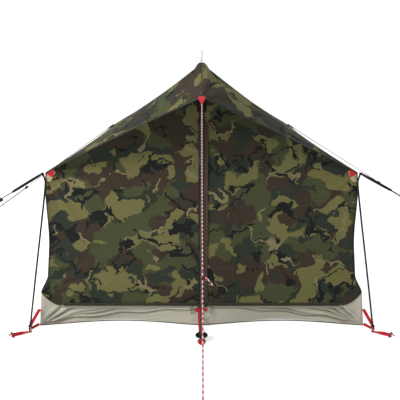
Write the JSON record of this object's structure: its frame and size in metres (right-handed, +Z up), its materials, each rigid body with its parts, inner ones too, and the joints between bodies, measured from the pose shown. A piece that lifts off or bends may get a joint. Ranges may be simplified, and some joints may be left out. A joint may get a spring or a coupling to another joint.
{
  "type": "ridge tent",
  "caption": "Pitched ridge tent with camouflage canopy, grey tub floor, zipped double door, upright telescoping poles, webbing, guy lines and pegs.",
  "frame": {"origin": "centre of the floor's underside, on the ground", "axes": "+Z up; the doorway faces -Y; +X is to the right of someone facing the doorway"},
  "size_m": [3.9836, 5.5736, 1.4083],
  "materials": {
    "camo_cloth": "coated plain-weave polyester printed in a woodland camouflage of brown, green, olive and black",
    "flap_cloth": "folded camouflage cloth, brown",
    "tub_cloth": "waterproof coated polyester, warm light grey",
    "zip_tape": "black woven tape with a nylon coil",
    "zip_metal": "die-cast, dark enamel",
    "pin_steel": "plain steel",
    "eyelet_metal": "black eyelet",
    "grip_foam": "fine-celled foam",
    "pole_paint": "semi-gloss black",
    "basket_plastic": "moulded black",
    "red_webbing": "ribbed woven webbing, red",
    "patch_cloth": "beige reinforcement cloth",
    "ring_metal": "bright wire",
    "black_cord": "braided sleeve over an elastic core",
    "stake_metal": "dull grey",
    "guy_rope": "braided, red with a pale tracer",
    "runner_plastic": "moulded black"
  },
  "bodies": {
    "canopy": {"roof_left": "camo_cloth", "roof_right": "camo_cloth", "front_hood_left": "camo_cloth", "front_hood_right": "camo_cloth", "rear_hood_left": "camo_cloth", "rear_hood_right": "camo_cloth", "side_wall_left": "camo_cloth", "side_wall_right": "camo_cloth", "front_wall_left": "camo_cloth", "front_wall_right": "camo_cloth", "rear_wall_left": "camo_cloth", "rear_wall_right": "camo_cloth", "bathtub_floor": "tub_cloth", "tub_zip_tapes": "zip_tape", "pole_pins": "pin_steel", "pole_grips": "grip_foam", "ridge_eyelets": "eyelet_metal", "front_pole_upper": "pole_paint", "rear_pole_upper": "pole_paint", "peak_tabs": "red_webbing", "eave_tabs": "red_webbing", "eave_patches": "patch_cloth", "foot_straps": "red_webbing", "corner_straps": "red_webbing", "corner_rings": "ring_metal", "corner_cords": "black_cord", "corner_stakes": "stake_metal", "guy_stakes": "stake_metal", "front_ridge_guy": "guy_rope", "rear_ridge_guy": "guy_rope", "front_left_guy": "guy_rope", "front_right_guy": "guy_rope", "rear_left_guy": "guy_rope", "rear_right_guy": "guy_rope"},
    "door_left": {"door_left": "camo_cloth", "zip_tape_left": "zip_tape", "sill_zip_left": "zip_tape"},
    "door_right": {"door_right": "camo_cloth", "zip_tape_right": "zip_tape", "sill_zip_right": "zip_tape", "zip_flap": "flap_cloth"},
    "zip_slider": {"zip_slider": "zip_metal"},
    "zip_pull": {"zip_pull": "zip_metal"},
    "sill_slider_left": {"sill_slider_left": "zip_metal"},
    "sill_slider_right": {"sill_slider_right": "zip_metal"},
    "front_pole_middle": {"front_pole_middle": "pole_paint"},
    "front_pole_lower": {"front_pole_lower": "pole_paint", "front_pole_basket": "basket_plastic", "front_pole_tip": "pin_steel"},
    "rear_pole_middle": {"rear_pole_middle": "pole_paint"},
    "rear_pole_lower": {"rear_pole_lower": "pole_paint", "rear_pole_basket": "basket_plastic", "rear_pole_tip": "pin_steel"},
    "front_ridge_runner": {"front_ridge_runner": "runner_plastic"},
    "rear_ridge_runner": {"rear_ridge_runner": "runner_plastic"},
    "front_left_runner": {"front_left_runner": "runner_plastic"},
    "front_right_runner": {"front_right_runner": "runner_plastic"},
    "rear_left_runner": {"rear_left_runner": "runner_plastic"},
    "rear_right_runner": {"rear_right_runner": "runner_plastic"}
  },
  "joints": [
    {"name": "door_left_hinge", "type": "hinge", "parent": "canopy", "child": "door_left", "pos_m": [-0.74659, -1, 0.172], "axis": [-0.6697, 0, -0.7427], "range_deg": [0, 105]},
    {"name": "door_right_hinge", "type": "hinge", "parent": "canopy", "child": "door_right", "pos_m": [0.74659, -1, 0.172], "axis": [-0.6697, 0, 0.7427], "range_deg": [0, 105]},
    {"name": "zip_slide", "type": "slide", "parent": "door_right", "child": "zip_slider", "axis": [0, 0, 1], "range_m": [0, 0.72]},
    {"name": "zip_pull_hinge", "type": "hinge", "parent": "zip_slider", "child": "zip_pull", "pos_m": [0.0052, -1.0086, 0.166], "axis": [-1, 0, 0], "range_deg": [0, 150]},
    {"name": "sill_zip_slide_left", "type": "slide", "parent": "canopy", "child": "sill_slider_left", "axis": [-1, 0, 0], "range_m": [0, 0.55]},
    {"name": "sill_zip_slide_right", "type": "slide", "parent": "canopy", "child": "sill_slider_right", "axis": [1, 0, 0], "range_m": [0, 0.55]},
    {"name": "front_pole_middle_slide", "type": "slide", "parent": "canopy", "child": "front_pole_middle", "axis": [0, 0, 1], "range_m": [0, 0.28]},
    {"name": "front_pole_lower_slide", "type": "slide", "parent": "front_pole_middle", "child": "front_pole_lower", "axis": [0, 0, 1], "range_m": [0, 0.34]},
    {"name": "rear_pole_middle_slide", "type": "slide", "parent": "canopy", "child": "rear_pole_middle", "axis": [0, 0, 1], "range_m": [0, 0.28]},
    {"name": "rear_pole_lower_slide", "type": "slide", "parent": "rear_pole_middle", "child": "rear_pole_lower", "axis": [0, 0, 1], "range_m": [0, 0.34]},
    {"name": "front_ridge_runner_slide", "type": "slide", "parent": "canopy", "child": "front_ridge_runner", "axis": [0, -0.8085, -0.5885], "range_m": [-0.05, 0.25]},
    {"name": "rear_ridge_runner_slide", "type": "slide", "parent": "canopy", "child": "rear_ridge_runner", "axis": [0, 0.8085, -0.5885], "range_m": [-0.05, 0.25]},
    {"name": "front_left_runner_slide", "type": "slide", "parent": "canopy", "child": "front_left_runner", "axis": [-0.8577, -0.0429, -0.5124], "range_m": [-0.05, 0.25]},
    {"name": "front_right_runner_slide", "type": "slide", "parent": "canopy", "child": "front_right_runner", "axis": [0.8795, -0.0397, -0.4743], "range_m": [-0.05, 0.25]},
    {"name": "rear_left_runner_slide", "type": "slide", "parent": "canopy", "child": "rear_left_runner", "axis": [-0.82, 0.0478, -0.5704], "range_m": [-0.05, 0.25]},
    {"name": "rear_right_runner_slide", "type": "slide", "parent": "canopy", "child": "rear_right_runner", "axis": [0.8498, 0.044, -0.5252], "range_m": [-0.05, 0.25]}
  ]
}
